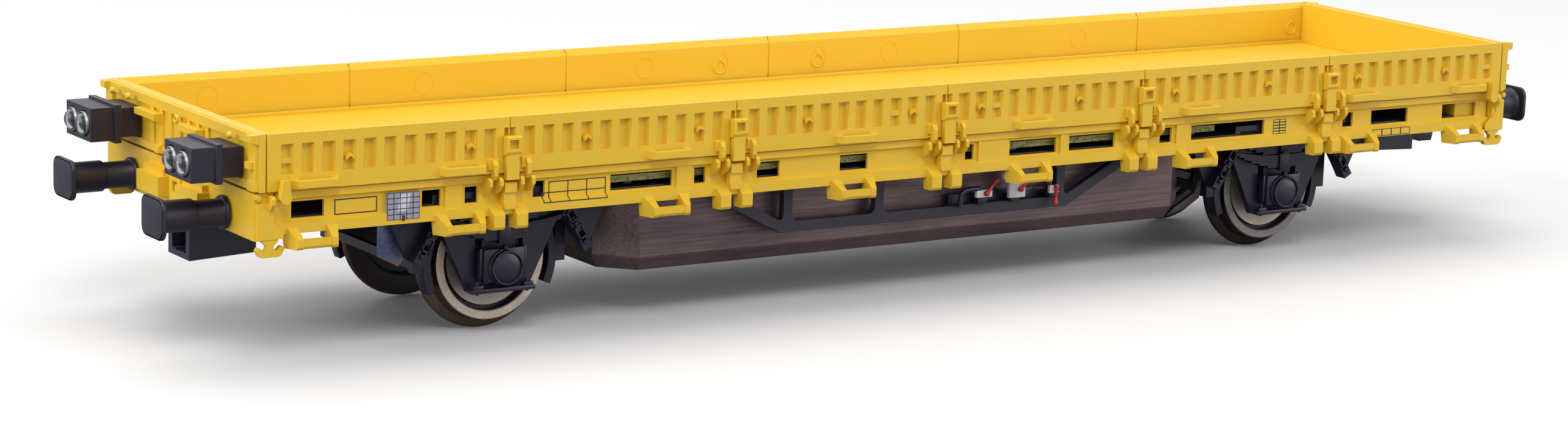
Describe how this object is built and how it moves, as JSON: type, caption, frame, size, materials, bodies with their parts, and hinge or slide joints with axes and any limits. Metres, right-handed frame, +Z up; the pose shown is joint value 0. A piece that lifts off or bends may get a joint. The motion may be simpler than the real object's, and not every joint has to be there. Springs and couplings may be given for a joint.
{
  "type": "scale model of a two-axle low-side flat wagon",
  "caption": "Scale model of a low-side flat wagon: planked load space with drop sides, buffers, end lamps, trussed underframe, and wheelsets that turn in their axle guards.",
  "frame": {"origin": "middle of the wagon, level with the lowest point of the wheel flanges", "axes": "+X along the wagon away from the lamps, +Y across it, +Z up"},
  "size_m": [0.1592, 0.0344, 0.0213],
  "materials": {
    "yellow_body": "satin traffic yellow moulded plastic",
    "black_plastic": "satin black moulded plastic",
    "slate_frame": "matt dark grey moulded plastic",
    "block": "chemically blackened, milled brass",
    "wheel": "turned, darkened metal",
    "board": "green circuit board with a milled edge",
    "lens": "clear moulded lens"
  },
  "bodies": {
    "wagon": {"load_floor": "yellow_body", "side_board_front_1": "yellow_body", "side_board_front_2": "yellow_body", "side_board_front_3": "yellow_body", "side_board_front_4": "yellow_body", "side_board_front_5": "yellow_body", "side_board_front_6": "yellow_body", "side_board_rear_1": "yellow_body", "side_board_rear_2": "yellow_body", "side_board_rear_3": "yellow_body", "side_board_rear_4": "yellow_body", "side_board_rear_5": "yellow_body", "side_board_rear_6": "yellow_body", "end_wall_lamp_end": "yellow_body", "end_wall_plain_end": "yellow_body", "sole_bar_front": "yellow_body", "sole_bar_rear": "yellow_body", "headstock_lamp_end": "yellow_body", "headstock_plain_end": "yellow_body", "buffer_lamp_end_front": "black_plastic", "buffer_lamp_end_rear": "black_plastic", "buffer_plain_end_front": "black_plastic", "buffer_plain_end_rear": "black_plastic", "lamp_housing_front": "black_plastic", "lamp_housing_rear": "black_plastic", "lamp_lens_front_inner": "lens", "lamp_lens_front_outer": "lens", "lamp_lens_rear_inner": "lens", "lamp_lens_rear_outer": "lens", "underframe_tray": "black_plastic", "circuit_board": "board", "drive_block": "block", "truss_front": "slate_frame", "truss_rear": "slate_frame", "brake_levers_front": "slate_frame", "brake_levers_rear": "slate_frame", "axle_guard_lamp_end_front": "black_plastic", "axle_guard_lamp_end_rear": "black_plastic", "axle_guard_plain_end_front": "black_plastic", "axle_guard_plain_end_rear": "black_plastic", "axle_box_lamp_end_front": "black_plastic", "axle_box_lamp_end_rear": "black_plastic", "axle_box_plain_end_front": "black_plastic", "axle_box_plain_end_rear": "black_plastic", "brake_beam_lamp_end_inner": "black_plastic", "brake_beam_lamp_end_outer": "black_plastic", "brake_beam_plain_end_inner": "black_plastic", "brake_beam_plain_end_outer": "black_plastic", "coupler_pocket_lamp_end": "black_plastic", "coupler_pocket_plain_end": "black_plastic"},
    "wheelset_lamp_end": {"axle_lamp_end": "wheel", "wheel_lamp_end_front": "wheel", "wheel_lamp_end_rear": "wheel"},
    "wheelset_plain_end": {"axle_plain_end": "wheel", "wheel_plain_end_front": "wheel", "wheel_plain_end_rear": "wheel"}
  },
  "joints": [
    {"name": "wheelset_lamp_end_spin", "type": "hinge", "parent": "wagon", "child": "wheelset_lamp_end", "pos_m": [-0.046, 0, 0.00671], "axis": [0, 1, 0], "continuous": true},
    {"name": "wheelset_plain_end_spin", "type": "hinge", "parent": "wagon", "child": "wheelset_plain_end", "pos_m": [0.046, 0, 0.00671], "axis": [0, 1, 0], "continuous": true}
  ]
}
